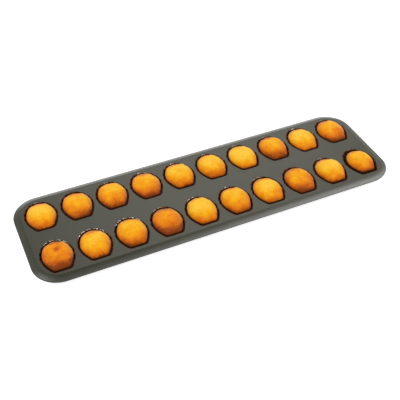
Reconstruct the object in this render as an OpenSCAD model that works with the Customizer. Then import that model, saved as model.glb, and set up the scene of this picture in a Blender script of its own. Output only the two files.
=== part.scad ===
// Mini madeleine pan with its batch of cakes still in it.
// One pressed steel sheet has a turned down, beaded edge and two rows of fluted shell moulds.
// The pan stands on the floors of its moulds at z = 0, and its long side runs along X.
// Every mould has its fan end towards +Y and its narrow heel towards -Y.

/* [Sheet] */
// Thickness of the coated steel sheet
sheet_t = 0.8; // [0.6:0.05:1]
// Outer radius of the pan's corners, seen from above
corner_r = 28.5; // [24:0.5:30]
// Radius over which the edge of the sheet turns down
bend_r = 11; // [9:0.5:13]
// Angle through which the edge turns down
bend_deg = 38; // [30:1:45]
// Radius of the bead that the edge is rolled into
bead_r = 1.3; // [1:0.1:1.6]

/* [Moulds] */
// Moulds in a row
columns = 10; // [2:1:10]
// Rows of moulds
rows = 2; // [1:1:2]
// Length of a mould between its walls, heel to fan tip
cavity_l = 41.6; // [34:0.1:50]
// Width of a mould between its walls at the widest line
cavity_w = 33; // [27:0.5:40]
// Depth of a mould, from the top of the sheet to its floor
cavity_d = 10.5; // [8.5:0.5:13]
// Distance from the heel wall to the widest line
heel_l = 19; // [15.5:0.5:23]
// Width of the heel wall, between the side walls
heel_w = 17.6; // [14:0.1:21]
// Length that each corner of the heel loses to its rounding
heel_r = 2.2; // [1.8:0.1:2.7]
// Radius of the lip between the sheet and a mould's wall
lip_r = 1.2; // [1:0.1:1.5]
// Flutes across the fan
flutes = 9; // [7:2:11]
// Height of a flute from ridge to hollow
flute_d = 1.4; // [1.1:0.1:1.7]

/* [Lands] */
// Flat sheet between neighbours in a row
land_x = 2.85; // [2:0.05:12]
// Flat sheet between the rows
land_y = 16; // [8:0.1:24]
// Flat sheet beyond the last mould at each end
land_end = 2.6; // [2:0.1:20]
// Flat sheet in front of the front row's heels
land_front = 3.1; // [2.5:0.1:20]
// Flat sheet behind the back row's fan tips
land_back = 3.3; // [2:0.1:20]

/* [Cakes] */
// Clearance between a cake and its mould
bake_gap = 0.35; // [0.3:0.05:0.5]
// Gap that shows around a cake at the top of its mould
edge_gap = 1.7; // [1:0.1:2]
// Depth of a cake's edge below the top of the sheet
edge_drop = 0.9; // [0.6:0.1:1.4]
// Mean height of a cake's crown above the top of the sheet
crown_h = 6.5; // [5.5:0.5:8]
// Most that a crown is higher or lower than the mean
crown_spread = 0.9; // [0:0.1:1.2]
// Most that a crown's peak leans to one side
crown_lean = 1.6; // [0:0.2:2.4]
// Number of the cake that baked smaller than the rest
small_cake = 20; // [1:1:20]
// Size of that cake against the rest
small_share = 0.93; // [0.9:0.01:1]

/* [Hidden] */
moulds = columns * rows;
top_z = cavity_d + sheet_t;

// The sheet's edge: how far the bead's centre lies beyond and below the fold.
bead_out = (bend_r - bead_r) * sin(bend_deg);
bead_down = bend_r - (bend_r - bead_r) * cos(bend_deg);
edge_w = bead_out + bead_r;
fold_r = corner_r - edge_w;
strip_lap = 5;

// The grid, which sets the size of the whole pan.
opening_l = cavity_l + 2 * lip_r;
opening_w = cavity_w + 2 * lip_r;
pitch_x = opening_w + land_x;
pitch_y = opening_l + land_y;
flat_l = columns * pitch_x - land_x + 2 * land_end;
flat_w = rows * pitch_y - land_y + land_front + land_back;
front_row_y = -flat_w / 2 + land_front + lip_r + heel_l;

// Each row of a shape table is one ring of a mould: its size against the wall's outline,
// its depth as a share of the mould's, the strength of the flutes and the wall's lean there.
wall = [[1, 0, 1, 30], [0.90, 0.62, 1, 40], [0.68, 0.92, 0.8, 72], [0.42, 1, 0.4, 90]];
bow = 1.6;
side_middle = 0.4;
heel_growth = 0.6;
fan_stations = 2 * flutes;
stations = fan_stations + 7;

// The rings of a mould shrink towards the root of its flutes, ahead of the heel.
root = [0, -0.42 * heel_l];

// The edge of the sheet is drawn with this many steps for its bend and for its bead.
bend_steps = 6;
bead_steps = 12;

// A cake's floor, the rings of its crown as size and height, and where the crown peaks.
cake_floor = 0.55;
dome = [[0.80, 0.58], [0.45, 0.90]];
peak_at = [0, 0.1 * cavity_l];
steel = [0.35, 0.36, 0.34];
golden = [0.95, 0.66, 0.20];
light = [0.98, 0.77, 0.33];
brown = [0.88, 0.53, 0.14];
light_cakes = [1, 5, 7, 9, 12, 15, 19];
brown_cakes = [4, 8, 10, 11, 14, 18];

function two_digits(k) = str(k < 10 ? "0" : "", k);
mould_names = [for (k = [1:moulds]) str("mould_", two_digits(k))];
cake_names = [for (k = [1:moulds]) str("madeleine_", two_digits(k))];

// Moulds and cakes count from the back left corner, along the back row and then the front.
function column_of(k) = (k - 1) % columns;
function row_of(k) = rows - 1 - floor((k - 1) / columns);
function place(k) = [
    (column_of(k) - (columns - 1) / 2) * pitch_x,
    front_row_y + row_of(k) * pitch_y,
    0
];

// Where a ray from the middle of the heel meets the half ellipse of the fan.
function fan_point(turn, half_w, fan_l, back) = let (
    a = pow(sin(turn) / half_w, 2) + pow(cos(turn) / fan_l, 2),
    b = -2 * back * cos(turn) / pow(fan_l, 2),
    c = pow(back / fan_l, 2) - 1,
    reach = (-b + sqrt(b * b - 4 * a * c)) / (2 * a)
) [reach * sin(turn), reach * cos(turn) - back];

// One side of the heel: a bowed wall down to the rounded corner.
function side_point(u, half_w, heel_half, back) =
    [half_w - (half_w - heel_half) * pow(u, bow), -u * back];

// The outline of a mould's wall, grown outwards, clockwise from the widest point on the left.
function outline_point(i, grow) = let (
    half_w = cavity_w / 2 + grow,
    fan_l = cavity_l - heel_l + grow,
    back = heel_l + grow,
    heel_half = heel_w / 2 + heel_growth * grow,
    widest = atan(half_w / back),
    corner = 1 - heel_r / back,
    j = i - fan_stations
) i <= fan_stations ? fan_point(widest * (i / flutes - 1), half_w, fan_l, back)
    : j == 1 ? side_point(side_middle, half_w, heel_half, back)
    : j == 2 ? side_point(corner, half_w, heel_half, back)
    : j == 3 ? [heel_half - heel_r, -back]
    : j == 4 ? [heel_r - heel_half, -back]
    : j == 5 ? mirrored(side_point(corner, half_w, heel_half, back))
    : mirrored(side_point(side_middle, half_w, heel_half, back));

function mirrored(p) = [-p[0], p[1]];

// Flutes stand out at the odd stations of the fan and their ridges come in at the even ones.
function flute_at(i) = i > fan_stations ? 0 : flute_d * (i % 2 == 1 ? 0.5 : -0.5);

// A ring of a mould or a cake, shrunk towards the root and then pushed out level.
function ring(grow, size, push, strength, z) = [
    for (i = [0:stations - 1])
        let (
            arm = outline_point(i, grow) - root,
            along = arm / norm(arm),
            p = root + arm * size + along * (push + strength * flute_at(i))
        ) [p[0], p[1], z]
];

// A closed solid through rings of points, from the lowest up, with a point to close each end.
module loft(rings, first, last) {
    n = len(rings[0]);
    points = concat([first, last], [for (r = rings) each r]);
    start = [for (i = [0:n - 1]) [0, 2 + (i + 1) % n, 2 + i]];
    finish = [for (i = [0:n - 1]) let (b = 2 + (len(rings) - 1) * n) [1, b + i, b + (i + 1) % n]];
    sides = [
        for (k = [0:len(rings) - 2], i = [0:n - 1])
            let (a = 2 + k * n + i, b = 2 + k * n + (i + 1) % n)
                each [[a, b, b + n], [a, b + n, a + n]]
    ];
    polyhedron(points = points, faces = concat(start, sides, finish), convexity = 6);
}

// One mould: the inner wall, the lip and the underside a sheet's thickness away.
module mould(k) {
    upper = [
        for (w = wall)
            ring(0, w[0], 0, w[2], top_z - max(lip_r, w[1] * cavity_d))
    ];
    under = [
        for (w = wall)
            ring(0, w[0], sheet_t * cos(w[3]), w[2],
                top_z - max(lip_r, w[1] * cavity_d) - sheet_t * sin(w[3]))
    ];
    lip_top = ring(lip_r, 1, 0, 0, top_z);
    lip_bottom = ring(lip_r, 1, 0, 0, top_z - sheet_t);
    rings = [
        under[3], under[2], under[1], under[0], lip_bottom,
        lip_top, upper[0], upper[1], upper[2], upper[3]
    ];
    color(steel) translate(place(k))
        loft(rings, [root[0], root[1], 0], [root[0], root[1], sheet_t]);
}

// The sheet's profile out to the rolled bead, as radius from a corner's axis and height.
function edge_profile(lap) = let (
    under_r = bend_r - sheet_t,
    bead_arm = bend_r - bead_r,
    meet = acos((pow(under_r, 2) - pow(bead_arm, 2) - pow(bead_r, 2)) / (2 * bead_arm * bead_r)),
    back = asin(bead_r * sin(meet) / under_r),
    bead_turn = 360 - meet
) concat(
    [[-lap, 0]],
    [for (i = [0:bend_steps]) let (a = bend_deg * i / bend_steps)
        [fold_r + bend_r * sin(a), bend_r * cos(a) - bend_r]],
    [for (i = [1:bead_steps]) let (a = 90 - bend_deg - bead_turn * i / bead_steps)
        [fold_r + bead_out + bead_r * cos(a), bead_r * sin(a) - bead_down]],
    [for (i = [1:bend_steps]) let (a = (bend_deg - back) * (1 - i / bend_steps))
        [fold_r + under_r * sin(a), under_r * cos(a) - bend_r]],
    [[-lap, -sheet_t]]
);

module edge_along(length) {
    rotate([90, 0, 0])
        linear_extrude(length, center = true)
            polygon(edge_profile(strip_lap));
}

module edge_corner() {
    rotate_extrude(angle = 90, $fn = 96)
        polygon(edge_profile(0));
}

// The flat of the sheet with its edge all round, before the moulds are let in.
module blank() {
    x = flat_l / 2 - fold_r;
    y = flat_w / 2 - fold_r;
    translate([-x, -y, -sheet_t])
        cube([2 * x, 2 * y, sheet_t]);
    for (side = [0, 180])
        rotate([0, 0, side])
            translate([x, 0, 0])
                edge_along(2 * y);
    for (side = [90, 270])
        rotate([0, 0, side])
            translate([y, 0, 0])
                edge_along(2 * x);
    for (flip_x = [0, 1], flip_y = [0, 1])
        mirror([flip_x, 0, 0])
            mirror([0, flip_y, 0])
                translate([x, y, 0])
                    edge_corner();
}

module sheet() {
    cut = 2 * sheet_t;
    color(steel)
        translate([0, 0, top_z])
            difference() {
                blank();
                for (k = [1:moulds])
                    translate(place(k) - [0, 0, sheet_t + cut / 2])
                        linear_extrude(sheet_t + cut)
                            polygon([for (p = ring(lip_r, 1, 0, 0, 0)) [p[0], p[1]]]);
            }
}

// How one cake differs from the next, from -1 to 1: a fixed scatter that depends on its number.
function scatter(k, kind) = sin(k * 137.5 + kind * 71 + 40 * sin(k * 53));

// How well each cake is baked shows in its colour.
function listed(k, cakes) = len(search(k, cakes)) > 0;
function crust(k) = listed(k, light_cakes) ? light : listed(k, brown_cakes) ? brown : golden;

// One cake: it fills its mould, draws in to an edge just below the sheet and rises to a crown.
module madeleine(k) {
    share = k == small_cake ? small_share : 1;
    crown = crown_h + crown_spread * scatter(k, 1);
    lean = crown_lean * [scatter(k, 2), scatter(k, 3)];
    edge_z = top_z - edge_drop;
    peak = top_z + crown - edge_z;
    floor_z = sheet_t + (1 - wall[2][1]) * cavity_d / 2 + bake_gap;
    wall_z = top_z - wall[1][1] * cavity_d + bake_gap;
    body = [
        ring(-bake_gap, cake_floor * share, 0, 0.4, floor_z),
        ring(-bake_gap, wall[1][0] * share, 0, 1, wall_z),
        ring(-edge_gap, share, 0, 0.4, edge_z)
    ];
    rise = [
        for (d = dome)
            [for (p = ring(-edge_gap, d[0] * share, 0, 0, edge_z + d[1] * peak))
                p + [lean[0], lean[1], 0] * d[1]]
    ];
    color(crust(k)) translate(place(k))
        loft(concat(body, rise), [root[0], root[1], floor_z],
            [peak_at[0] + lean[0], peak_at[1] + lean[1], edge_z + peak]);
}

sheet();
for (k = [1:moulds])
    mould(k);
for (k = [1:moulds])
    madeleine(k);
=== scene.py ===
"""Looks for a mini madeleine pan and its batch of cakes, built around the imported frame.

The pan is one continuous coated sheet: its land, its twenty fluted moulds and its rolled edge are
one mesh. Each cake is a closed mesh of its own that fills its mould. All lengths are in metres.
"""

import logging
import math
from dataclasses import dataclass, field
from enum import Enum

import bpy
import numpy as np
from mathutils import Matrix, Vector
from mathutils.geometry import delaunay_2d_cdt


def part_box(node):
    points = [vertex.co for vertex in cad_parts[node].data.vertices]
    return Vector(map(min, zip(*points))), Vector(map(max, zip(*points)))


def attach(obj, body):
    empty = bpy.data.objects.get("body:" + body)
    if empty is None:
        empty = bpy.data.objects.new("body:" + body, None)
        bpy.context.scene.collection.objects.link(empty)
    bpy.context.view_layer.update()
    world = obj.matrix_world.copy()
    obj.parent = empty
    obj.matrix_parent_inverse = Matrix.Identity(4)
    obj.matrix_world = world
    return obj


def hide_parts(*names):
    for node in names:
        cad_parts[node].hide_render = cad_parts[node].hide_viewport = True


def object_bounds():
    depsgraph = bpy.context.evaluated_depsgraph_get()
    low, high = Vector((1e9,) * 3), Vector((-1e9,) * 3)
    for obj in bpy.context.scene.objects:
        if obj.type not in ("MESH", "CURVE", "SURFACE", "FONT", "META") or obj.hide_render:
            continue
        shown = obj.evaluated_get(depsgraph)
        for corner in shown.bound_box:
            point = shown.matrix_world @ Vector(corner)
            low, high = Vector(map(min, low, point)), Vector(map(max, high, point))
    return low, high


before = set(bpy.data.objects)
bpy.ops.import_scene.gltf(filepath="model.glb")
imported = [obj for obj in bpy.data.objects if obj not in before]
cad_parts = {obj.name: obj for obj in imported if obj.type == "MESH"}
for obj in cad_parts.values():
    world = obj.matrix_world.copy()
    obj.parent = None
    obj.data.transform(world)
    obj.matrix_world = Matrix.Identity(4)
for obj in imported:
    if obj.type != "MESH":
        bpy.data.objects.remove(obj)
CAD_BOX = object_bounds()

LOG = logging.getLogger("madeleine_pan")
MM = 0.001
COLUMNS = 10
MOULDS = 20


class Bake(Enum):
    """How well a cake is baked, named by its material slot in the record."""

    LIGHT = "sponge_light"
    GOLDEN = "sponge_golden"
    BROWN = "sponge_brown"


# Shader building

class Socket:
    """Wraps a shader socket, so that maths on it adds Math nodes."""

    def __init__(self, graph: "Graph", output: bpy.types.NodeSocket) -> None:
        """Keeps the graph and the output.

        Args:
            graph: The graph that new nodes go into.
            output: The socket that this value comes from.
        """
        self.graph = graph
        self.output = output

    def math(self, operation: str, *others: "Socket | float", clamp: bool = False) -> "Socket":
        """Adds a Math node on this value.

        Args:
            operation: The Math node's operation.
            others: The other inputs, as sockets or numbers.
            clamp: Whether the result is held between 0 and 1.

        Returns:
            The node's result.
        """
        inputs = {i: v for i, v in enumerate((self, *others))}
        return self.graph.node("ShaderNodeMath", {"operation": operation, "use_clamp": clamp}, inputs)

    def __add__(self, other: "Socket | float") -> "Socket":
        """Returns this plus other."""
        return self.math("ADD", other)

    __radd__ = __add__

    def __sub__(self, other: "Socket | float") -> "Socket":
        """Returns this less other."""
        return self.math("SUBTRACT", other)

    def __rsub__(self, other: float) -> "Socket":
        """Returns other less this."""
        return self.graph.node("ShaderNodeMath", {"operation": "SUBTRACT"}, {0: other, 1: self})

    def __mul__(self, other: "Socket | float") -> "Socket":
        """Returns this times other."""
        return self.math("MULTIPLY", other)

    __rmul__ = __mul__

    def clamped(self) -> "Socket":
        """Returns this value held between 0 and 1."""
        return self.math("ADD", 0.0, clamp=True)

    def band(self, low: float, high: float) -> "Socket":
        """Rises smoothly from 0 at low to 1 at high.

        Args:
            low: The value that becomes 0.
            high: The value that becomes 1.

        Returns:
            The remapped value.
        """
        return self.graph.node(
            "ShaderNodeMapRange",
            {"interpolation_type": "SMOOTHSTEP"},
            {"Value": self, "From Min": low, "From Max": high},
        )


class Graph:
    """The node tree of one material or world."""

    def __init__(self, owner: bpy.types.Material | bpy.types.World) -> None:
        """Clears the owner's tree.

        Args:
            owner: The material or world to build in.
        """
        owner.use_nodes = True
        self.tree = owner.node_tree
        self.tree.nodes.clear()

    def node(
        self,
        kind: str,
        settings: dict | None = None,
        inputs: dict | None = None,
        output: int | str = 0,
    ) -> Socket:
        """Adds any node: its settings first, then the values or links of its sockets.

        Args:
            kind: The node's type.
            settings: Attributes to set, or "stops" as (place, colour) pairs of a ramp.
            inputs: Values or Sockets by input name or number.
            output: The output to return.

        Returns:
            The chosen output.
        """
        made = self.tree.nodes.new(kind)
        for name, value in (settings or {}).items():
            if name == "stops":
                self._set_stops(made.color_ramp, value)
            else:
                setattr(made, name, value)
        for name, value in (inputs or {}).items():
            if isinstance(value, Socket):
                self.tree.links.new(value.output, made.inputs[name])
            else:
                made.inputs[name].default_value = value
        return Socket(self, made.outputs[output])

    @staticmethod
    def _set_stops(ramp: bpy.types.ColorRamp, stops: list[tuple[float, tuple]]) -> None:
        """Sets a ramp's stops.

        Args:
            ramp: The ramp.
            stops: Pairs of place and colour, from low to high.
        """
        while len(ramp.elements) < len(stops):
            ramp.elements.new(1.0)
        for element, (place, colour) in zip(ramp.elements, stops):
            element.position = place
            element.color = colour

    def noise(self, where: Socket, scale: float, detail: float = 3.0, roughness: float = 0.5) -> Socket:
        """Adds fractal noise.

        Args:
            where: The coordinates.
            scale: Lumps per metre.
            detail: Octaves.
            roughness: How strong the finer octaves are.

        Returns:
            The noise, about 0.5 on average.
        """
        inputs = {"Vector": where, "Scale": scale, "Detail": detail, "Roughness": roughness}
        return self.node("ShaderNodeTexNoise", {"noise_dimensions": "3D"}, inputs)

    def mix(self, share: Socket | float, low: Socket | tuple, high: Socket | tuple) -> Socket:
        """Mixes two colours.

        A Mix node takes its share as input 0 and its colours as inputs 6 and 7, and gives their
        mix as output 2.

        Args:
            share: 0 for low, 1 for high.
            low: The first colour.
            high: The second colour.

        Returns:
            The mixed colour.
        """
        made = self.tree.nodes.new("ShaderNodeMix")
        made.data_type = "RGBA"
        for socket, value in zip((made.inputs[0], made.inputs[6], made.inputs[7]), (share, low, high)):
            if isinstance(value, Socket):
                self.tree.links.new(value.output, socket)
            else:
                socket.default_value = value
        return Socket(self, made.outputs[2])

    def attribute(self, name: str) -> Socket:
        """Reads a float attribute of the mesh by name."""
        return self.node("ShaderNodeAttribute", {"attribute_name": name}, output="Fac")

    def bump(self, height: Socket, distance: float, strength: float, under: Socket | None = None) -> Socket:
        """Adds a Bump node.

        Args:
            height: The height, from 0 to 1.
            distance: How far 1 stands out, in metres.
            strength: How much of it shows.
            under: A bump that this one lies on.

        Returns:
            The normal.
        """
        inputs = {"Height": height, "Distance": distance, "Strength": strength}
        if under is not None:
            inputs["Normal"] = under
        return self.node("ShaderNodeBump", None, inputs)

    def principled(self, **inputs: Socket | float | tuple) -> Socket:
        """Adds a Principled shader.

        Args:
            inputs: The shader's inputs, with underscores for the spaces in their names.

        Returns:
            The shader.
        """
        named = {name.replace("_", " "): value for name, value in inputs.items()}
        return self.node("ShaderNodeBsdfPrincipled", None, named)

    def blend(self, share: Socket, first: Socket, second: Socket) -> Socket:
        """Mixes two shaders.

        Args:
            share: 0 for the first, 1 for the second.
            first: The first shader.
            second: The second shader.

        Returns:
            The mixed shader.
        """
        return self.node("ShaderNodeMixShader", None, {0: share, 1: first, 2: second})

    def finish(self, shader: Socket, kind: str = "ShaderNodeOutputMaterial") -> None:
        """Links a shader to a new output node.

        Args:
            shader: The shader.
            kind: The output node's type.
        """
        made = self.tree.nodes.new(kind)
        self.tree.links.new(shader.output, made.inputs["Surface"])


# Finishes

@dataclass(frozen=True)
class NonStickCoat:
    """The pan's dark grey non-stick coating: matte, faintly mottled, and paler towards the right as painted
    light.

    The sheet's attributes change it. One puts bright bare metal on the lips as painted glints, one
    stains the moulds with baked sugar and darkens the gap round each cake as painted shade, one
    pales the front edge as painted light, more towards the right, and one gives the back edge a
    clear gloss.
    """

    base: tuple = (0.043, 0.042, 0.026, 1.0)
    dull: tuple = (0.017, 0.018, 0.005, 1.0)
    # Painted glint: the bright bare metal put on the lips where highlights stand.
    painted_glint_colour: tuple = (0.92, 0.89, 0.83, 1.0)
    # Painted light: the pale grey put on the front edge where more light falls.
    painted_edge_light: tuple = (0.22, 0.22, 0.21, 1.0)
    # Baked sugar stain, kept dark also as painted shade in the gap round each cake.
    burnt_and_shade: tuple = (0.060, 0.016, 0.0006, 1.0)
    syrup_and_shade: tuple = (0.190, 0.056, 0.0025, 1.0)
    roughness: float = 0.36
    painted_light_from: float = -0.22
    painted_light_at: float = -0.02
    brushing: tuple = (6.0, 90.0, 40.0)

    def material(self) -> bpy.types.Material:
        """Builds the material.

        Returns:
            A material that reads Object coordinates and the sheet's attributes.
        """
        made = bpy.data.materials.new("non_stick_coat")
        g = Graph(made)
        where = g.node("ShaderNodeTexCoord", output="Object")
        clouds = g.noise(where, 28.0, 4.0, 0.6)
        grain = g.noise(where, 2600.0, 2.0, 0.5)
        speckle = g.noise(where, 900.0, 2.0, 0.6)
        orange_peel = g.noise(where, 520.0, 2.0, 0.5)
        brushed = g.node("ShaderNodeMapping", None, {"Vector": where, "Scale": self.brushing})
        streaks = g.noise(brushed, 1.0, 4.0)
        # Painted light: the coat grows paler from near the left end towards the right, where more light
        # falls.
        along = g.node("ShaderNodeSeparateXYZ", None, {0: where}).band(self.painted_light_from, self.painted_light_at)
        mottle_and_light = clouds.band(0.30, 0.70) * 0.16 + speckle.band(0.30, 0.70) * 0.18 + along * 0.7
        # Painted light: the front edge is made paler, more so towards the right.
        coat = g.mix(g.attribute("painted_edge_light").clamped(), g.mix(mottle_and_light.clamped(), self.dull, self.base), self.painted_edge_light)
        # Painted glints: the lips turn bright bare metal where highlights stand.
        glint_share = (g.attribute("painted_glint") * (0.55 + 0.45 * speckle.band(0.35, 0.60))).clamped()
        rough = self.roughness + (clouds - 0.5) * 0.16 + (streaks - 0.5) * 0.08 - glint_share * 0.26
        peel = g.bump(orange_peel, 0.00006, 0.35)
        steel = g.principled(
            Base_Color=g.mix(glint_share, coat, self.painted_glint_colour),
            Metallic=glint_share,
            Roughness=rough.clamped(),
            Normal=g.bump(grain, 0.00003, 0.30, peel),
            IOR=1.48,
            Coat_Weight=g.attribute("smooth").clamped(),
            Coat_Roughness=0.14,
        )
        # Baked sugar stain, dark also as painted shade in the gap round each cake, with little gloss.
        stain_and_shade = g.mix(g.noise(where, 300.0, 3.0, 0.6).band(0.45, 0.70), self.burnt_and_shade, self.syrup_and_shade)
        residue_and_shade = g.principled(
            Base_Color=stain_and_shade, Roughness=0.75, Normal=g.bump(speckle, 0.00010, 0.5), Specular_IOR_Level=0.03
        )
        g.finish(g.blend(g.attribute("well").clamped(), steel, residue_and_shade))
        return made


@dataclass(frozen=True)
class BakedCrust:
    """A cake's crust: pale gold on the crown, browner towards the heel with painted shade, dark where it met
    steel.

    The cake's attributes change it. Tone picks the crown's colour, and carries painted light and
    shade as well as browning. A painted sheen pales the rim at the back and the right, under marks
    what baked against the steel, and scorch marks the darkest band, which is scorched crust darkened
    also as painted shade in the gap below the rim.
    marks what baked against the steel, and scorch marks the darkest band.
    """

    bake: Bake
    underside: tuple = (0.200, 0.060, 0.012, 1.0)
    browned: tuple = (0.110, 0.028, 0.006, 1.0)
    # Scorched crust, darkened also as painted shade in the gap below the rim.
    scorched_and_shade: tuple = (0.028, 0.008, 0.002, 1.0)
    pore: tuple = (0.30, 0.070, 0.010, 1.0)
    crumb: tuple = (0.90, 0.56, 0.13, 1.0)
    # Painted sheen: the pale cream put on the rim at the back and the right.
    painted_sheen: tuple = (0.62, 0.38, 0.115, 1.0)

    def tones(self) -> list[tuple[float, tuple]]:
        """Returns the crown's colours, from its browned rim to its palest part."""
        shift = {Bake.LIGHT: 0.12, Bake.GOLDEN: 0.0, Bake.BROWN: -0.14}[self.bake]
        colours = (
            (0.25, 0.046, 0.004),
            (0.58, 0.125, 0.001),
            (0.76, 0.225, 0.001),
            (0.83, 0.370, 0.002),
            (0.87, 0.500, 0.035),
        )
        places = (0.0, 0.25, 0.50, 0.75, 1.0)
        return [(min(max(p - shift, 0.0), 1.0), (*c, 1.0)) for p, c in zip(places, colours)]

    def material(self) -> bpy.types.Material:
        """Builds the material.

        Returns:
            A material that reads Object coordinates and a cake's attributes.
        """
        made = bpy.data.materials.new(f"crust_{self.bake.name.lower()}")
        g = Graph(made)
        where = g.node("ShaderNodeTexCoord", output="Object")
        patches = g.noise(where, 110.0, 3.0, 0.55)
        freckles = g.noise(where, 620.0, 3.0, 0.6)
        crumb = g.noise(where, 1900.0, 3.0, 0.65)
        cells = g.node("ShaderNodeTexVoronoi", {"feature": "F1"}, {"Vector": where, "Scale": 620.0})
        rare = g.noise(where, 260.0, 1.0).band(0.45, 0.60)
        pores = (1.0 - cells.band(0.10, 0.26)) * rare
        # The tone carries painted light and shade as well as browning.
        tone = g.attribute("tone") + (patches - 0.5) * 0.80 + (freckles - 0.5) * 0.35
        crown = g.node("ShaderNodeValToRGB", {"stops": self.tones()}, {"Fac": tone.clamped()})
        flecks = g.noise(where, 900.0, 2.0).band(0.60, 0.74) * tone.clamped() * 0.25
        pale = g.mix(flecks, crown, self.crumb)
        # Painted sheen: the rim is paled where a grazing sheen stands.
        with_sheen = g.mix((g.attribute("painted_sheen") * (0.20 + freckles * 0.8)).clamped(), pale, self.painted_sheen)
        freckled = g.mix((pores * 0.85).clamped(), with_sheen, self.pore)
        steel_side = g.mix(g.noise(where, 240.0, 3.0, 0.6).band(0.35, 0.70), self.browned, self.underside)
        baked = g.mix(g.attribute("under").clamped(), freckled, steel_side)
        # Scorched crust, darkened also as painted shade in the gap below the rim.
        colour = g.mix(g.attribute("scorch_and_shade").clamped(), baked, self.scorched_and_shade)
        lumps = g.bump(patches, 0.0009, 0.35)
        fine = g.bump(freckles, 0.00030, 0.50, lumps)
        grain = g.bump(crumb, 0.00012, 0.45, fine)
        g.finish(
            g.principled(
                Base_Color=colour,
                Roughness=(0.60 + (freckles - 0.5) * 0.25).clamped(),
                Normal=g.bump(1.0 - pores, 0.00030, 0.7, grain),
                Specular_IOR_Level=0.12,
                IOR=1.4,
                Sheen_Weight=0.18,
                Sheen_Roughness=0.40,
            )
        )
        return made


# Meshes

def grid_quads(rows: int, columns: int, first: int) -> np.ndarray:
    """Numbers the quads of a grid of points whose rows are rings.

    The quads face the way that surface_normals points.

    Args:
        rows: Rings.
        columns: Points in a ring.
        first: The number of the grid's first point.

    Returns:
        An array of quads, each of four point numbers.
    """
    r, c = np.meshgrid(np.arange(rows - 1), np.arange(columns), indexing="ij")
    after = (c + 1) % columns
    corners = (r * columns + c, (r + 1) * columns + c, (r + 1) * columns + after, r * columns + after)
    return np.stack(corners, axis=-1).reshape(-1, 4) + first


def fan_triangles(ring_first: int, columns: int, pole: int, pole_first: bool = False) -> np.ndarray:
    """Numbers the triangles between a ring and a pole.

    Args:
        ring_first: The number of the ring's first point.
        columns: Points in the ring.
        pole: The number of the pole.
        pole_first: Whether the pole comes before the ring's row and not after it.

    Returns:
        An array of triangles.
    """
    c = np.arange(columns)
    a, b = ring_first + c, ring_first + (c + 1) % columns
    tip = np.full(columns, pole)
    return np.stack((tip, a, b) if pole_first else (a, tip, b), axis=-1)


def make_object(
    name: str, points: np.ndarray, faces: list[np.ndarray], values: dict[str, np.ndarray]
) -> bpy.types.Object:
    """Puts arrays of points and faces into a smooth mesh object.

    Args:
        name: The object's name.
        points: Points, one row each.
        faces: Arrays of triangles or quads.
        values: Float attributes by name, one value for each point.

    Returns:
        The object, linked to the scene.
    """
    mesh = bpy.data.meshes.new(name)
    mesh.vertices.add(len(points))
    mesh.vertices.foreach_set("co", points.astype(np.float32).ravel())
    sizes = np.concatenate([np.full(len(f), f.shape[1]) for f in faces])
    corners = np.concatenate([f.ravel() for f in faces]).astype(np.int32)
    mesh.loops.add(len(corners))
    mesh.loops.foreach_set("vertex_index", corners)
    mesh.polygons.add(len(sizes))
    starts = np.concatenate(([0], np.cumsum(sizes)[:-1])).astype(np.int32)
    mesh.polygons.foreach_set("loop_start", starts)
    mesh.polygons.foreach_set("use_smooth", np.ones(len(sizes), bool))
    mesh.update(calc_edges=True)
    mesh.validate()
    for key, value in values.items():
        layer = mesh.attributes.new(key, "FLOAT", "POINT")
        layer.data.foreach_set("value", value.astype(np.float32).ravel())
    made = bpy.data.objects.new(name, mesh)
    bpy.context.scene.collection.objects.link(made)
    return made


def surface_normals(grid: np.ndarray) -> np.ndarray:
    """Finds the unit normals of a grid of points whose rows are closed rings.

    The normal is the cross product of the step to the next ring and the step along the ring.

    Args:
        grid: Points, as rings by stations by three.

    Returns:
        Normals of the same shape.
    """
    down = np.gradient(grid, axis=0)
    along = np.roll(grid, -1, axis=1) - np.roll(grid, 1, axis=1)
    normal = np.cross(down, along)
    return normal / np.maximum(np.linalg.norm(normal, axis=-1, keepdims=True), 1e-12)


def smoothstep(x: np.ndarray, low: float, high: float) -> np.ndarray:
    """Rises from 0 at low to 1 at high as 3t squared less 2t cubed."""
    t = np.clip((x - low) / (high - low), 0.0, 1.0)
    return t * t * (3.0 - 2.0 * t)


def towards(bearing: np.ndarray, middle: float, edge: float) -> np.ndarray:
    """Rises from 0, where the cosine of the angle from the middle is edge, to 1 at the middle.

    Args:
        bearing: Bearings, in radians.
        middle: The bearing at which the result is 1.
        edge: The cosine at which the result is 0.

    Returns:
        Values between 0 and 1.
    """
    return smoothstep(np.cos(bearing - middle), edge, 1.0)


def waves(points: np.ndarray, seed: int, longest: float, shortest: float, count: int) -> np.ndarray:
    """Sums plane waves of random direction and phase, each as high as its length's share.

    Args:
        points: Points, with three values along the last axis.
        seed: The seed of the directions and phases.
        longest: The longest wavelength.
        shortest: The shortest wavelength.
        count: How many waves are summed.

    Returns:
        Heights between about -1 and 1.
    """
    rng = np.random.default_rng(seed)
    lengths = longest * (shortest / longest) ** rng.random(count)
    directions = rng.normal(size=(count, 3))
    directions /= np.linalg.norm(directions, axis=1, keepdims=True)
    phases = rng.random(count) * 2.0 * math.pi
    angles = points @ (directions / lengths[:, None]).T * 2.0 * math.pi + phases
    weights = lengths / longest
    return (np.sin(angles) * weights).sum(axis=-1) / weights.sum() * 2.0


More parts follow.
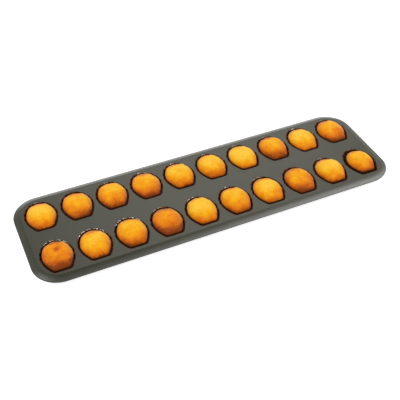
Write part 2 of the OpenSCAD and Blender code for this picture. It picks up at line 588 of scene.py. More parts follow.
@dataclass(frozen=True)
class MouldShape:
    """One fluted shell mould, as a surface over stations round it and rows down it.

    Clear is how far the mould stands above the CAD model's floor, so that the pan stays inside
    the CAD box. Root share places the flutes' root, as a share of the heel's length. Heel growth
    is how much of a ring's growth the heel's half width takes. Bow and wall power are the powers
    of the side's and the wall's curves, and the wall turns into the floor between the two shares
    of its depth in floor turn.
    """

    length: float = 41.6 * MM
    width: float = 33 * MM
    heel_length: float = 19 * MM
    heel_width: float = 17.6 * MM
    heel_round: float = 2.2 * MM
    lip: float = 1.2 * MM
    flutes: int = 9
    flute_depth: float = 1.4 * MM
    sheet: float = 0.8 * MM
    clear: float = 0.03 * MM
    root_share: float = 0.42
    heel_growth: float = 0.6
    bow: float = 1.6
    wall_power: float = 0.448
    floor_turn: tuple = (0.55, 0.97)
    fan_steps: int = 72
    side_steps: int = 10
    corner_steps: int = 4
    heel_steps: int = 8
    ridge_softness: float = 0.10

    @property
    def root(self) -> np.ndarray:
        """The point ahead of the heel from which the flutes spread."""
        return np.array((0.0, -self.root_share * self.heel_length))

    @property
    def top(self) -> float:
        """The height of the sheet's upper face."""
        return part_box("mould_01")[1].z

    @property
    def depth(self) -> float:
        """The depth from the sheet's upper face to the mould's floor, which stands a hair high."""
        return self.top - self.sheet - self.clear

    @property
    def stations(self) -> int:
        """How many points one ring has."""
        return self.fan_steps + 2 * self.side_steps + 2 * self.corner_steps + self.heel_steps

    def place(self, number: int) -> np.ndarray:
        """Finds where a mould's widest line crosses its centreline, from the CAD node.

        Args:
            number: The mould's number, from 1.

        Returns:
            The point, at height 0.
        """
        low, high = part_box(f"mould_{number:02d}")
        return np.array(((low.x + high.x) / 2, low.y + self.heel_length + self.lip, 0.0))

    def outline(self, grow: np.ndarray) -> np.ndarray:
        """Traces the mould's wall, grown outwards.

        The fan is half an ellipse, met by rays from the heel's middle at even angles. Each side
        draws in as a power of the way to the heel, each corner is a quadratic curve, and the heel
        is straight.

        Args:
            grow: How far each ring lies outside the wall.

        Returns:
            Points as rings by stations by two, clockwise from the widest point on the left.
        """
        g = np.asarray(grow, float).reshape(-1, 1)
        half, fan = self.width / 2 + g, self.length - self.heel_length + g
        back, heel = self.heel_length + g, self.heel_width / 2 + self.heel_growth * g
        turn = np.linspace(-1.0, 1.0, self.fan_steps + 1) * np.arctan(half / back)
        a = (np.sin(turn) / half) ** 2 + (np.cos(turn) / fan) ** 2
        b = -2.0 * back * np.cos(turn) / fan**2
        c = (back / fan) ** 2 - 1.0
        reach = (-b + np.sqrt(b * b - 4.0 * a * c)) / (2.0 * a)
        fan_part = np.stack((reach * np.sin(turn), reach * np.cos(turn) - back), axis=-1)
        u = np.linspace(0.0, 1.0, self.side_steps + 1)[1:] * (1.0 - self.heel_round / back)
        side = np.stack((half - (half - heel) * u**self.bow, -u * back), axis=-1)
        t = np.linspace(0.0, 1.0, self.corner_steps + 1)[1:, None]
        start, finish = side[:, -1:], np.stack((heel - self.heel_round, -back), axis=-1)
        middle = np.stack((heel - 0.1 * self.heel_round, -back), axis=-1)
        corner = start * (1 - t) ** 2 + middle * 2 * t * (1 - t) + finish * t**2
        mirror = np.array((-1.0, 1.0))
        v = np.linspace(0.0, 1.0, self.heel_steps + 1)[1:, None]
        base = finish * (1 - v) + finish * mirror * v
        left_corner = (corner * mirror)[:, ::-1][:, 1:]
        left_start = side[:, -1:] * mirror
        left_side = (side * mirror)[:, ::-1][:, 1:]
        return np.concatenate(
            (fan_part, side, corner, base, left_corner, left_start, left_side), axis=1
        )

    def flute_wave(self) -> tuple[np.ndarray, np.ndarray]:
        """Works out the flutes at each station.

        Their profile is the size of a cosine, softened at its cusps, so hollows are round and
        ridges narrow. It is 1 in a hollow and -1 on a ridge.

        Returns:
            The wave, and a mask that is 1 across the fan and fades out down the sides.
        """
        s = np.linspace(-self.flutes / 2, self.flutes / 2, self.fan_steps + 1)
        soft = self.ridge_softness
        swing = np.sqrt(np.cos(math.pi * s) ** 2 * (1.0 - soft) + soft)
        fan = (swing - math.sqrt(soft)) / (1.0 - math.sqrt(soft)) * 2.0 - 1.0
        rest = self.stations - self.fan_steps - 1
        steps = np.minimum(np.arange(1, rest + 1), np.arange(rest, 0, -1))
        fade = 1.0 - smoothstep(steps.astype(float), 0.0, 4.0)
        return np.concatenate((fan, -np.ones(rest))), np.concatenate((np.ones(len(fan)), fade))

    def depth_share(self, size: np.ndarray) -> np.ndarray:
        """Gives the wall's depth as a share: 1 less size to the fourth, to a power under a half."""
        return np.maximum(1.0 - size**4, 0.0) ** self.wall_power

    def wall_height(self, share: np.ndarray) -> np.ndarray:
        """Turns a share of the wall's depth, below the lip, into a height."""
        return self.top - self.lip - (self.depth - self.lip) * share

    def floor_part(self, share: np.ndarray) -> np.ndarray:
        """Says how much each share of the wall's depth belongs to the floor."""
        return smoothstep(share, *self.floor_turn)

    def surface(
        self,
        grow: np.ndarray,
        size: np.ndarray,
        z: np.ndarray,
        fluting: np.ndarray,
        floor: np.ndarray,
        level: np.ndarray | None = None,
    ) -> np.ndarray:
        """Lays rings round the mould and presses the flutes into them.

        Each ring is the outline drawn in towards the root. The flutes move it along the smooth
        surface's own normal: half a flute each way on the wall, and only upwards on the floor.
        Where level is 1 they move it level, so that the lip is scalloped as the wall is.

        Args:
            grow: How far each ring lies outside the wall's outline.
            size: Each ring's size against the outline.
            z: Each ring's height.
            fluting: The strength of the flutes in each ring.
            floor: How much each ring belongs to the floor.
            level: How much each ring keeps its height as it is fluted.

        Returns:
            Points as rings by stations by three.
        """
        flat = self.root + (self.outline(grow) - self.root) * size[:, None, None]
        heights = np.broadcast_to(z[:, None], flat.shape[:2])
        smooth = np.concatenate((flat, heights[..., None]), axis=-1)
        wave, mask = self.flute_wave()
        swing = 0.5 * wave[None, :] - 0.5 * floor[:, None]
        push = self.flute_depth * fluting[:, None] * swing * mask[None, :]
        normal = surface_normals(smooth)
        if level is not None:
            normal[..., 2] *= 1.0 - level[:, None]
            normal /= np.linalg.norm(normal, axis=-1, keepdims=True)
        return smooth - normal * push[..., None]

    def strength(self, size: np.ndarray) -> np.ndarray:
        """Gives how strong the flutes are on a ring: full on the wall, gone at the root."""
        return np.interp(size, (0.12, 0.42, 0.68, 0.90), (0.0, 0.26, 0.70, 1.0))


@dataclass
class PanSheet:
    """The pan: one pressed sheet with its land, moulds and rolled edge.

    Each of the painted glint arcs says where one mould's lip is painted as bright bare metal to
    stand for a glint: the arc's middle and its half width, in degrees from the fan's tip, and its
    brightness. The glint comes in and goes over two bands of the mould's depth, given as shares of
    it, and so does the stain of baked sugar, which is also painted shade in the gap round each cake
    and keeps its deep value on the floor. The edge's gloss and its painted light come in over bands
    of the distance beyond the fold, and the painted light rises from left to right.
    """

    shape: MouldShape
    bend: float = 11 * MM
    bend_angle: float = math.radians(38)
    crease: float = math.radians(12)
    crease_radius: float = 1.2 * MM
    hem: float = 0.5 * MM
    bead: float = 1.3 * MM
    corner: float = 28.5 * MM
    support: float = 0.3 * MM
    scallop: float = 0.18
    lip_rows: int = 6
    wall_rows: int = 11
    wall_spacing: float = 0.62
    floor_ring: float = 0.05
    arc_rows: int = 7
    bead_rows: int = 14
    bead_turn: float = math.radians(262)
    corner_steps: int = 24
    step: float = 8 * MM
    crisp_angle: float = math.radians(70)
    gloss_comes: tuple = (-0.2 * MM, 0.6 * MM)
    # Painted light on the front edge: its band, and how it rises from left to right.
    edge_light_comes: tuple = (1.0 * MM, 7.0 * MM)
    edge_light_on_left: float = 0.14
    edge_light_rise: float = 0.64
    shine_comes: tuple = (0.003, 0.014)
    shine_goes: tuple = (0.036, 0.070)
    arc_softness: float = 5.0
    # The stain, which is also painted shade just under the land, round each cake.
    stain_and_shade_comes: tuple = (0.001, 0.006)
    stain_and_shade_fades: tuple = (0.10, 0.40)
    deep_stain_and_shade: float = 0.14
    # Painted glints, one for each mould: the arc's middle, its half width and its brightness.
    painted_glint_arcs: tuple = (
        (0, 14, 0.9), (0, 8, 0.0), (0, 14, 0.8), (4, 16, 1.0), (0, 14, 0.9),
        (0, 14, 0.8), (0, 13, 0.8), (-3, 12, 0.8), (0, 12, 0.9), (0, 12, 0.7),
        (8, 36, 1.0), (5, 46, 1.0), (5, 43, 1.0), (-8, 22, 0.8), (-8, 22, 0.9),
        (0, 14, 0.9), (-6, 17, 0.8), (0, 8, 0.1), (0, 10, 0.8), (4, 10, 0.6),
    )
    coat: NonStickCoat = field(default_factory=NonStickCoat)

    @property
    def edge_width(self) -> float:
        """How far the edge reaches beyond the fold."""
        return (self.bend - self.bead) * math.sin(self.bend_angle) + self.bead

    def mould_rows(self) -> dict[str, np.ndarray]:
        """Lists a mould's rings, from the flat land over the lip and down to the floor.

        The lip is a quarter circle. On the wall the rings' sizes fall as a cosine to a power.

        Returns:
            The arguments of MouldShape.surface, and each ring's depth as a share.
        """
        s = self.shape
        turn = np.linspace(0.0, math.pi / 2, self.lip_rows + 1)
        way = np.linspace(0.0, 1.0, self.wall_rows + 1)[1:]
        size = np.cos(way * math.pi / 2) ** self.wall_spacing
        size[-1] = self.floor_ring
        share = s.depth_share(size)
        return {
            "grow": np.concatenate(([s.lip + self.support], s.lip * (1 - np.sin(turn)), 0 * size)),
            "size": np.concatenate(([1.0], np.ones(len(turn)), size)),
            "z": np.concatenate(([s.top], s.top - s.lip * (1 - np.cos(turn)), s.wall_height(share))),
            "fluting": np.concatenate(
                ([0.0], self.scallop + (1 - self.scallop) * np.sin(turn) ** 2, s.strength(size))
            ),
            "floor": np.concatenate(([0.0], 0 * turn, s.floor_part(share))),
            "level": np.concatenate(([0.0], 0 * turn + 1.0, 0 * size)),
        }

    def fold(self) -> tuple[np.ndarray, np.ndarray]:
        """Traces the line where the land ends and the edge begins.

        It is a rectangle with round corners, in from the pan's outline by the edge's width.

        Returns:
            Points, and the outward direction at each, clockwise from above.
        """
        low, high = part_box("sheet")
        centre = np.array(((low.x + high.x) / 2, (low.y + high.y) / 2))
        radius = self.corner - self.edge_width
        half = np.array(((high.x - low.x) / 2, (high.y - low.y) / 2)) - self.edge_width - radius
        points, outward = [], []
        signs = ((1, 1), (1, -1), (-1, -1), (-1, 1))
        for k, (sx, sy) in enumerate(signs):
            angle = math.pi / 2 * (1 - k) - np.linspace(0, math.pi / 2, self.corner_steps + 1)
            way = np.stack((np.cos(angle), np.sin(angle)), axis=-1)
            arc = centre + half * (sx, sy) + radius * way
            nx, ny = signs[(k + 1) % 4]
            end = centre + half * (nx, ny) + radius * way[-1]
            count = max(2, round(float(np.linalg.norm(end - arc[-1])) / self.step))
            share = np.linspace(0, 1, count + 1)[1:-1, None]
            points += [arc, arc[-1] * (1 - share) + end * share]
            outward += [way, np.repeat(way[-1:], count - 1, axis=0)]
        return np.concatenate(points), np.concatenate(outward)

    def edge_profile(self) -> np.ndarray:
        """Traces the edge's upper face, from the land over the crease and the slope and round the bead.

        The crease is a short arc at the fold. The slope carries on from it as an arc of large
        radius that turns evenly from the crease's angle to the angle at which it meets the bead,
        whose centre is where the bend's radius puts it. That angle is found by repetition. The
        bead has its own radius.

        Returns:
            Points as distance beyond the fold and height above the land.
        """
        inner = self.bend - self.bead
        centre = np.array((inner * math.sin(self.bend_angle), inner * math.cos(self.bend_angle) - self.bend))
        meet = self.bend_angle / 2
        for _ in range(8):
            end = centre + self.bead * np.array((math.sin(meet), math.cos(meet)))
            meet = 2 * math.atan2(-end[1], end[0]) - self.crease
        reach = self.crease_radius * math.tan(self.crease / 2)
        flat = np.array(((-self.hem, 0.0), (-reach, 0.0)))
        a = np.linspace(0.0, self.crease, 4)[1:]
        turn = self.crease_radius * np.stack((np.sin(a), np.cos(a) - 1.0), axis=-1) - (reach, 0.0)
        c = np.linspace(self.crease, meet, self.arc_rows + 1)
        slope = np.stack((np.sin(c) - np.sin(c[0]), np.cos(c) - np.cos(c[0])), axis=-1)
        slope = turn[-1] + slope * ((end - turn[-1]) / slope[-1])
        b = math.pi / 2 - meet - np.linspace(0, self.bead_turn, self.bead_rows + 1)[1:]
        bead = centre + self.bead * np.stack((np.cos(b), np.sin(b)), axis=-1)
        return np.concatenate((flat, turn, slope[1:], bead))

    def build(self) -> bpy.types.Object:
        """Builds the sheet's upper face as one mesh and gives it the steel's thickness.

        Returns:
            The finished piece.
        """
        s = self.shape
        basin = s.surface(**self.mould_rows())
        rings, stations = basin.shape[:2]
        mould = np.concatenate((basin.reshape(-1, 3), [(*s.root, s.sheet + s.clear)]))
        points, faces, painted_glint, well = [], [], [], []
        for number in range(1, MOULDS + 1):
            first = (number - 1) * len(mould)
            points.append(mould + s.place(number))
            faces.append(grid_quads(rings, stations, first))
            faces.append(fan_triangles(first + (rings - 1) * stations, stations, first + rings * stations))
            glint_share, stained_and_shaded = self._mould_values(basin, number)
            painted_glint.append(glint_share)
            well.append(stained_and_shaded)
        edge, smooth, painted_edge_light = self._edge()
        edge_first = MOULDS * len(mould)
        points.append(edge.reshape(-1, 3))
        faces.append(grid_quads(*edge.shape[:2], edge_first)[:, ::-1])
        every = np.concatenate(points)
        faces.append(self._land(every, len(mould), stations, edge_first, edge.shape[1]))
        on_moulds, on_edge = np.zeros(edge_first), np.zeros(smooth.size)
        made = make_object(
            "pan_sheet",
            every,
            faces,
            {
                "painted_glint": np.concatenate((*painted_glint, on_edge)),
                "well": np.concatenate((*well, on_edge)),
                "smooth": np.append(on_moulds, smooth.ravel()),
                "painted_edge_light": np.append(on_moulds, painted_edge_light.ravel()),
            },
        )
        return self._thicken(made)

    def _mould_values(self, basin: np.ndarray, number: int) -> tuple[np.ndarray, np.ndarray]:
        """Works out where a mould's lip carries a painted glint and where it is stained.

        The painted glint lies on a thin band of the lip, in the flutes' hollows, along the mould's own
        arc: bright bare metal that stands for a highlight. The stain starts just under the land, where it
        also stands for the shade in the gap round the cake, and fades to its deep value down the wall.

        Args:
            basin: The mould's surface, before it is moved to its place.
            number: The mould's number, from 1.

        Returns:
            The painted glint and the stain with its painted shade at each point, with the pole's last.
        """
        s = self.shape
        share = (s.top - basin[..., 2]) / s.depth
        bearing = np.degrees(np.arctan2(basin[..., 0], basin[..., 1]))
        wave, mask = s.flute_wave()
        # Painted glint: a band of the lip, in the hollows, turned bright where highlights stand.
        lip = smoothstep(share, *self.shine_comes) * (1.0 - smoothstep(share, *self.shine_goes))
        lip = lip * smoothstep(wave * mask, -0.4, 0.3)[None, :]
        middle, half, bright = self.painted_glint_arcs[number - 1]
        soft = self.arc_softness
        painted_glint = bright * lip * (1.0 - smoothstep(np.abs(bearing - middle), half - soft, half + soft))
        fading = 1.0 - (1.0 - self.deep_stain_and_shade) * smoothstep(share, *self.stain_and_shade_fades)
        # Baked sugar stain, also dark as painted shade in the gap round the cake.
        well = smoothstep(share, *self.stain_and_shade_comes) * (1.0 - painted_glint) * fading
        return np.append(painted_glint, 0.0), np.append(well, self.deep_stain_and_shade)

    def _edge(self) -> tuple[np.ndarray, np.ndarray, np.ndarray]:
        """Sweeps the edge's profile round the fold.

        Smooth is 1 on the back slope. The painted edge light lies on the front slope and grows to the right:
        painted light, paler where more light falls.

        Returns:
            Points as rows by stations by three, and the values smooth and painted edge light at each.
        """
        fold, outward = self.fold()
        low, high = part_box("sheet")
        profile = self.edge_profile()
        edge = np.empty((len(profile), len(fold), 3))
        edge[..., :2] = fold[None] + outward[None] * profile[:, None, :1]
        edge[..., 2] = self.shape.top + profile[:, 1:2]
        on_slope = smoothstep(profile[:, 0], *self.gloss_comes)
        smooth = on_slope[:, None] * smoothstep(outward[:, 1], 0.5, 0.9)[None, :]
        # Painted light: the front slope is paled, from little on the left to more on the right.
        rightwards = smoothstep(fold[:, 0], low.x, high.x)
        edge_light_level = self.edge_light_on_left + self.edge_light_rise * rightwards
        front = smoothstep(-outward[:, 1], 0.3, 0.9) * edge_light_level
        painted_edge_light = smoothstep(profile[:, 0], *self.edge_light_comes)[:, None] * front[None, :]
        return edge, smooth, painted_edge_light

    def _land(
        self, points: np.ndarray, mould_size: int, stations: int, edge_first: int, edge_count: int
    ) -> np.ndarray:
        """Fills the flat land between the fold and the moulds' outermost rings.

        Args:
            points: Every point of the sheet.
            mould_size: Points in one mould.
            stations: Points in one ring of a mould.
            edge_first: The number of the fold's first point.
            edge_count: Points along the fold.

        Returns:
            Triangles, as numbers of the sheet's own points.
        """
        loops = [np.arange(stations) + k * mould_size for k in range(MOULDS)]
        loops.append(np.arange(edge_count) + edge_first)
        numbers = np.concatenate(loops)
        flat = [Vector((float(x), float(y))) for x, y in points[numbers, :2]]
        starts = np.cumsum([0] + [len(loop) for loop in loops])
        edges = [
            (int(a + i), int(a + (i + 1) % (b - a)))
            for a, b in zip(starts[:-1], starts[1:])
            for i in range(b - a)
        ]
        found = delaunay_2d_cdt(flat, edges, [], 1, 1e-9)
        source = np.array([origins[0] for origins in found[3]])
        triangles = source[np.array(found[2])]
        inside_one_mould = (triangles // stations == triangles[:, :1] // stations).all(axis=1)
        land = triangles[~(inside_one_mould & (triangles[:, 0] < MOULDS * stations))]
        return numbers[land]

    def _thicken(self, made: bpy.types.Object) -> bpy.types.Object:
        """Gives the sheet its thickness below its upper face, and keeps its cut edge crisp.

        The new underside follows the upper face's points, and it has no stain, no painted shade and no
        painted glints.

        Args:
            made: The sheet's upper face.

        Returns:
            The same object with its thick mesh.
        """
        above = len(made.data.vertices)
        solid = made.modifiers.new("thickness", "SOLIDIFY")
        solid.thickness = self.shape.sheet
        solid.offset = -1.0
        solid.use_even_offset = True
        bpy.context.view_layer.update()
        graph = bpy.context.evaluated_depsgraph_get()
        thick = bpy.data.meshes.new_from_object(made.evaluated_get(graph))
        made.modifiers.clear()
        made.data = thick
        for key in ("painted_glint", "well"):
            values = np.empty(len(thick.vertices), np.float32)
            thick.attributes[key].data.foreach_get("value", values)
            values[above:] = 0.0
            thick.attributes[key].data.foreach_set("value", values)
        thick.set_sharp_from_angle(angle=self.crisp_angle)
        return made

    def dress(self, made: bpy.types.Object) -> None:
        """Coats the sheet and lets it stand for its CAD nodes."""
        made.data.materials.clear()
        made.data.materials.append(self.coat.material())
        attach(made, "pan")
        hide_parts("sheet", *(f"mould_{k:02d}" for k in range(1, MOULDS + 1)))


@dataclass(frozen=True)
class Dimple:
    """A dent in a cake's crown."""

    x: float
    y: float
    radius: float
    depth: float

    def dent(self, grid: np.ndarray, spread: float = 1.0) -> np.ndarray:
        """Gives how deep the dent is at each point, as a share.

        It is e to the power of minus the square of the distance from the middle, over the radius.

        Args:
            grid: The cake's rings.
            spread: The radius to use, against the dent's own.

        Returns:
            Shares, 1 at the middle.
        """
        far = np.hypot(grid[..., 0] - self.x, grid[..., 1] - self.y)
        return np.exp(-((far / (spread * self.radius)) ** 2))


@dataclass(frozen=True)
class CrustTones:
    """How the crust changes over a cake, as steps of tone and as bands.

    The crown's tone falls by rim at the rim. From the middle it rises by back towards the fan's
    tip and falls by heel towards the heel, and it falls by tip over the tip band, whose numbers
    are shares of half the mould's length. These falls and this rise are partly browning and partly
    painted light and shade. In a dimple it falls by dimple. A painted sheen lies on the outer part
    of the crown, over a band of shares of the rim's reach.
    """

    crown: float = 0.80
    rim: float = 0.58
    back: float = 0.15
    heel: float = 0.36
    tip: float = 0.34
    tip_band: tuple = (0.46, 0.80)
    dimple: float = 0.52
    dimple_spread: float = 0.95
    # Painted sheen on the outer crown: its band, bearing and edge.
    sheen_band: tuple = (0.62, 0.97)
    sheen_bearing: float = 0.62
    sheen_edge: float = -0.30


@dataclass
class Madeleine:
    """One cake: a fluted underside, an edge drawn in from the steel and a domed crown.

    Share is the cake's size against its mould, and offset is how far it has slid. Knee says how
    far out and how far up the side bends, between the underside and the rim. Crown curve and crown
    power are the two powers that shape the crown, and fullness, the fan's tip and the shoulder
    change the second. Lumps and ripple are the heights of the crust's coarse and fine swellings.
    """

    number: int
    shape: MouldShape
    bake: Bake
    crown: float = 7 * MM
    peak: tuple = (0.0, 4.0 * MM)
    share: float = 1.0
    offset: tuple = (0.0, 0.0)
    gap: float = 0.35 * MM
    edge_gap: float = 1.7 * MM
    edge_drop: float = 0.9 * MM
    overhang: float = 0.6 * MM
    rim_fluting: float = 0.10
    knee: tuple = (0.65, 0.80)
    crown_curve: float = 2.5
    crown_power: float = 0.51
    tip_power: float = 0.36
    shoulder_power: float = 0.12
    lumps: float = 0.44 * MM
    ripple: float = 0.07 * MM
    headroom: float = 0.02 * MM
    dimple: Dimple | None = None
    paleness: float = 0.0
    fullness: float = 0.0
    tones: CrustTones = CrustTones()
    under_rows: int = 14
    side_rows: int = 5
    crown_rows: int = 22
    crown_spacing: float = 0.8
    top_ring: float = 0.03

    @property
    def name(self) -> str:
        """The CAD node's name, which is the body's too."""
        return f"madeleine_{self.number:02d}"

    def _under(self) -> np.ndarray:
        """Lays the underside's rings, a gap inside the mould, from the root up the wall.

        The rings' sizes fall as a cosine, so they lie closest at the top of the wall.

        Returns:
            Points as rings by stations by three.
        """
        s = self.shape
        start, finish = 0.05, 0.975
        size = finish - (finish - start) * (1.0 - np.cos(np.linspace(0.0, math.pi / 2, self.under_rows)))
        share = s.depth_share(size)
        inwards = s.surface(
            np.full(len(size), -self.gap),
            size * self.share,
            s.wall_height(share) + self.gap,
            s.strength(size),
            s.floor_part(share),
        )
        return inwards[::-1]

    def _crown(self, rim: np.ndarray) -> np.ndarray:
        """Raises the crown from the cake's rim.

        Each ring is the rim drawn in towards the peak, and the height is 1 less the ring's size
        to a power, all to a second power. That one is about a half, so the crown is round at its
        rim and flat on top. It is larger at the fan's tip, where the crown rises slowly, and
        smaller at the shoulder to the right of it.

        Args:
            rim: The rim's points.

        Returns:
            The crown's rings.
        """
        turn = np.linspace(0.0, math.pi / 2, self.crown_rows + 1)[1:]
        size = np.cos(turn) ** self.crown_spacing
        size[-1] = self.top_ring
        rise = self.crown + self.edge_drop
        middle = np.array((*self.peak, 0.0))
        arm = rim - middle
        bearing = np.arctan2(arm[:, 0], arm[:, 1])
        tip = towards(bearing, -0.05, 0.80)
        shoulder = towards(bearing, 1.10, 0.74)
        power = self.crown_power - self.fullness + self.tip_power * tip - self.shoulder_power * shoulder
        lift = rise * (1.0 - size[:, None] ** self.crown_curve) ** power
        rings = middle + arm * size[:, None, None]
        rings[..., 2] = rim[None, :, 2] + lift
        return rings

    def _rim(self) -> np.ndarray:
        """Traces the rim: the mould's outline drawn in by the edge gap, and faintly fluted.

        Returns:
            The rim's points, which hang over a little further on the right.
        """
        s = self.shape
        flat = s.root + (s.outline(np.array([-self.edge_gap]))[0] - s.root) * self.share
        wave, mask = s.flute_wave()
        away = flat - s.root
        away /= np.linalg.norm(away, axis=1, keepdims=True)
        rightwards = towards(np.arctan2(flat[:, 0], flat[:, 1]), 1.40, 0.80)
        out = self.rim_fluting * s.flute_depth * wave * mask + self.overhang * rightwards
        flat = flat + away * out[:, None]
        return np.concatenate((flat, np.full((len(flat), 1), s.top - self.edge_drop)), axis=1)

    def _side(self, lower: np.ndarray, rim: np.ndarray) -> np.ndarray:
        """Joins the underside to the rim with quadratic curves.

        Args:
            lower: The underside's highest ring.
            rim: The rim's points.

        Returns:
            The rings between the two.
        """
        t = np.linspace(0.0, 1.0, self.side_rows + 2)[1:-1, None, None]
        out, up = self.knee
        knee = lower + (rim - lower) * (out, out, up)
        return lower * (1 - t) ** 2 + knee * 2 * t * (1 - t) + rim * t**2

    def _swollen(self, grid: np.ndarray, height: np.ndarray, edge_z: float) -> np.ndarray:
        """Moves the crown in and out along its normals, and keeps it under its CAD node's top.

        Args:
            grid: The cake's rings.
            height: Each point's height above the rim, as a share.
            edge_z: The rim's height.

        Returns:
            The moved rings.
        """
        coarse = waves(grid, self.number, 16 * MM, 3.5 * MM, 40)
        fine = waves(grid, 100 + self.number, 3 * MM, 1.1 * MM, 60)
        swell = (self.lumps * coarse + self.ripple * fine) * smoothstep(height, 0.0, 0.35)
        if self.dimple is not None:
            swell -= self.dimple.depth * self.dimple.dent(grid) * (height > 0)
        moved = grid + surface_normals(grid) * swell[..., None]
        above = moved[..., 2] - edge_z
        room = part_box(self.name)[1].z - self.headroom - edge_z
        squash = min(1.0, room / float(above.max()))
        moved[..., 2] = edge_z + np.where(above > 0.0, above * squash, above)
        return moved

    def build(self) -> bpy.types.Object:
        """Builds the cake as one closed mesh.

        Returns:
            The piece, in its mould.
        """
        s = self.shape
        edge_z = s.top - self.edge_drop
        under, rim = self._under(), self._rim()
        grid = np.concatenate((under, self._side(under[-1], rim), rim[None], self._crown(rim)))
        height = np.clip((grid[..., 2] - edge_z) / (self.crown + self.edge_drop), 0.0, 1.0)
        grid = self._swollen(grid, height, edge_z)
        bottom = np.array((*s.root, s.sheet + s.clear + self.gap))
        points = np.concatenate((grid.reshape(-1, 3), [bottom, grid[-1].mean(axis=0)]))
        points += s.place(self.number) + (*self.offset, 0.0)
        rows, stations = grid.shape[:2]
        count = rows * stations
        faces = [
            grid_quads(rows, stations, 0),
            fan_triangles(0, stations, count, True),
            fan_triangles(count - stations, stations, count + 1),
        ]
        return make_object(self.name + "_crust", points, faces, self._values(grid, height))

    def _values(self, grid: np.ndarray, height: np.ndarray) -> dict[str, np.ndarray]:
        """Works out the values that colour the crust.

        Tone is high on the crown, and low at the rim, at both ends and in a dimple, as browning and
        as painted light and shade. Under is 1 where the crust met the steel. Scorch is 1 on the narrow
        band below the rim, scorched crust darkened also as painted shade in the gap. The painted sheen
        rises towards the rim, most at the back and the right.

        Args:
            grid: The cake's rings.
            height: Each point's height above the rim, as a share.

        Returns:
            Attributes by name, with the two poles' values last.
        """
        c = self.tones
        back = grid[..., 1] / (0.5 * self.shape.length)
        slope = np.where(back > 0.0, c.back, c.heel)
        # Browning with painted light and shade: the tone rises towards the fan's tip and falls towards the
        # heel and the rim.
        tone = c.crown - c.rim * (1.0 - height) + slope * back + self.paleness
        tone = tone - c.tip * smoothstep(back, *c.tip_band)
        if self.dimple is not None:
            tone = tone - c.dimple * self.dimple.dent(grid, c.dimple_spread)
        row = np.arange(grid.shape[0])[:, None] * np.ones(grid.shape[1])
        side_row, rim_row = self.under_rows, self.under_rows + self.side_rows
        under = 1.0 - smoothstep(row, rim_row - 2.0, rim_row + 1.0)
        # Scorched crust, darkened also as painted shade in the gap below the rim.
        scorch_and_shade = smoothstep(row, side_row - 2.0, side_row + 1.0)
        scorch_and_shade = scorch_and_shade * (1.0 - smoothstep(row, rim_row, rim_row + 2.6))
        reach = np.hypot(grid[..., 0], grid[..., 1])
        bearing = np.arctan2(grid[..., 0], grid[..., 1])
        # Painted sheen: a paler rim at the back and the right.
        painted_sheen = smoothstep(reach / reach[rim_row], *c.sheen_band) * smoothstep(row, rim_row, rim_row + 1.0)
        painted_sheen = painted_sheen * towards(bearing, c.sheen_bearing, c.sheen_edge)
        return {
            "tone": np.append(tone.ravel(), (0.2, tone[-1].mean())),
            "under": np.append(under.ravel(), (1.0, 0.0)),
            "scorch_and_shade": np.append(scorch_and_shade.ravel(), (0.0, 0.0)),
            "painted_sheen": np.append(painted_sheen.ravel(), (0.0, 0.0)),
        }

    def dress(self, made: bpy.types.Object, crust: bpy.types.Material) -> None:
        """Gives the cake its crust and lets it stand for its CAD node."""
        made.data.materials.append(crust)
        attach(made, self.name)
        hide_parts(self.name)


@dataclass
class Batch:
    """The twenty cakes, which differ as cakes from one oven do.

    Paleness lightens or darkens single cakes by a share of the crown's range of colours. The
    shrunken cake is smaller than the others and has slid in its mould.
    """

    shape: MouldShape
    light: tuple = (1, 5, 7, 9, 12, 15, 19)
    brown: tuple = (4, 8, 10, 11, 14, 18)
    dimples: dict = field(
        default_factory=lambda: {
            11: Dimple(0.5 * MM, 5.6 * MM, 3.9 * MM, 1.3 * MM),
            7: Dimple(0.5 * MM, 12.0 * MM, 1.8 * MM, 0.5 * MM),
        }
    )
    paleness: dict = field(
        default_factory=lambda: {
            2: -0.06, 4: 0.03, 6: 0.15, 7: 0.16, 8: 0.04, 9: 0.04, 10: 0.03, 11: -0.11,
            12: -0.05, 14: -0.11, 15: 0.07, 16: 0.04, 17: 0.12, 19: 0.02,
        }
    )
    shrunken: int = 20
    shrunken_share: float = 0.93
    slid: tuple = (0.7 * MM, 0.6 * MM)
    seed: int = 7

    def bake_of(self, number: int) -> Bake:
        """Says how well a cake is baked."""
        if number in self.light:
            return Bake.LIGHT
        return Bake.BROWN if number in self.brown else Bake.GOLDEN

    def cakes(self) -> list[Madeleine]:
        """Lists the cakes, each with its own crown.

        Returns:
            The cakes in order of their numbers.
        """
        rng = np.random.default_rng(self.seed)
        listed = []
        for number in range(1, MOULDS + 1):
            rise, x, y, full = rng.uniform(-1.0, 1.0, 4)
            listed.append(
                Madeleine(
                    number,
                    self.shape,
                    self.bake_of(number),
                    crown=(6.8 + 0.7 * rise) * MM,
                    peak=(1.6 * x * MM, (3.6 + 1.8 * y) * MM),
                    share=self.shrunken_share if number == self.shrunken else 1.0,
                    offset=self.slid if number == self.shrunken else (0.0, 0.0),
                    dimple=self.dimples.get(number),
                    paleness=self.paleness.get(number, 0.0),
                    fullness=0.06 * full,
                )
            )
        return listed

    def build(self) -> None:
        """Builds and dresses every cake."""
        crusts = {bake: BakedCrust(bake).material() for bake in Bake}
        for cake in self.cakes():
            made = cake.build()
            cake.dress(made, crusts[cake.bake])
            LOG.info("%s: %d faces", made.name, len(made.data.polygons))


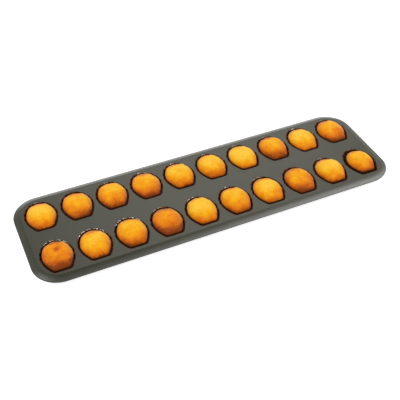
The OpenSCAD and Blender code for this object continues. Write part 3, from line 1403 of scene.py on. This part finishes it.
@dataclass
class Studio:
    """The camera, the lamps and a plain white floor.

    The camera's place, direction and lens were fitted to the photograph. Ambient is the world's
    strength on surfaces, and the walls and the ceiling change it in reflections.
    """

    camera_at: tuple = (-0.23685, -0.51535, 0.5200)
    forward: tuple = (0.29747, 0.66920, -0.68094)
    roll: float = math.radians(-0.25)
    lens: float = 64.41
    sensor: float = 36.0
    white: tuple = (1.0, 1.0, 1.0, 1.0)
    ambient: float = 0.54
    walls: float = 0.52
    ceiling: float = 0.85
    floor_reach: float = 6.0

    def build(self) -> None:
        """Sets up the camera, the world, the lamps and the floor."""
        self._camera()
        self._world()
        self._lamp("back_softbox", (0.30, 0.80, 0.90), 0.9, 2.8)
        self._lamp("left_softbox", (-0.95, 0.15, 1.05), 0.6, 7.0)
        self._lamp("front_softbox", (0.75, -0.75, 1.25), 0.6, 4.0)
        self._lamp("right_softbox", (1.00, -0.05, 1.20), 0.6, 5.0)
        self._floor()

    def _camera(self) -> None:
        """Places the camera where the photograph was taken from."""
        data = bpy.data.cameras.new("camera")
        data.lens, data.sensor_width, data.sensor_fit = self.lens, self.sensor, "HORIZONTAL"
        data.clip_start, data.clip_end = 0.01, 20.0
        made = bpy.data.objects.new("camera", data)
        bpy.context.scene.collection.objects.link(made)
        turn = Vector(self.forward).to_track_quat("-Z", "Y").to_matrix().to_4x4()
        made.matrix_world = Matrix.Translation(self.camera_at) @ turn @ Matrix.Rotation(self.roll, 4, "Z")
        bpy.context.scene.camera = made

    def _world(self) -> None:
        """Lights the scene evenly: white to the camera, pale walls and a dark ceiling in reflections."""
        world = bpy.data.worlds.new("studio")
        bpy.context.scene.world = world
        g = Graph(world)
        seen = g.node("ShaderNodeLightPath", output="Is Camera Ray")
        glossy = g.node("ShaderNodeLightPath", output="Is Glossy Ray")
        towards = g.node("ShaderNodeTexCoord", output="Generated")
        ceiling = g.node("ShaderNodeSeparateXYZ", None, {0: towards}, output=2).band(0.40, 1.0)
        mirrored = glossy * (self.walls - ceiling * self.ceiling)
        strength = self.ambient + seen * (1.0 - self.ambient) + mirrored
        shader = g.node("ShaderNodeBackground", None, {"Color": self.white, "Strength": strength})
        g.finish(shader, "ShaderNodeOutputWorld")

    def _lamp(self, name: str, at: tuple, size: float, power: float) -> None:
        """Adds a soft square lamp that looks at the pan.

        Args:
            name: The lamp's name.
            at: Its place.
            size: The length of its side.
            power: Its power in watts.
        """
        data = bpy.data.lights.new(name, "AREA")
        data.size, data.energy = size, power
        made = bpy.data.objects.new(name, data)
        bpy.context.scene.collection.objects.link(made)
        aim = (-Vector(at)).to_track_quat("-Z", "Y").to_matrix().to_4x4()
        made.matrix_world = Matrix.Translation(at) @ aim

    def _floor(self) -> None:
        """Lays a white floor that keeps the pan's soft shadow."""
        low = CAD_BOX[0]
        corners = np.array([(-1, -1), (1, -1), (1, 1), (-1, 1)]) * self.floor_reach
        points = np.concatenate((corners, np.full((4, 1), low[2])), axis=1)
        floor = make_object("floor", points, [np.array([[0, 1, 2, 3]])], {})
        material = bpy.data.materials.new("white_floor")
        g = Graph(material)
        seen = g.node("ShaderNodeLightPath", output="Is Camera Ray")
        glossy = g.node("ShaderNodeLightPath", output="Is Glossy Ray")
        g.finish(
            g.principled(
                Base_Color=(0.92, 0.92, 0.92, 1.0),
                Roughness=0.9,
                Emission_Color=self.white,
                Emission_Strength=seen * 0.8 + glossy * 0.4,
            )
        )
        floor.data.materials.append(material)


def main() -> None:
    """Builds the studio, the pan and the batch of cakes."""
    logging.basicConfig(level=logging.INFO, format="%(name)s: %(message)s")
    bpy.context.scene.view_settings.view_transform = "Standard"
    Studio().build()
    shape = MouldShape()
    pan = PanSheet(shape)
    sheet = pan.build()
    pan.dress(sheet)
    LOG.info("%s: %d faces", sheet.name, len(sheet.data.polygons))
    Batch(shape).build()


if __name__ == "__main__":
    main()
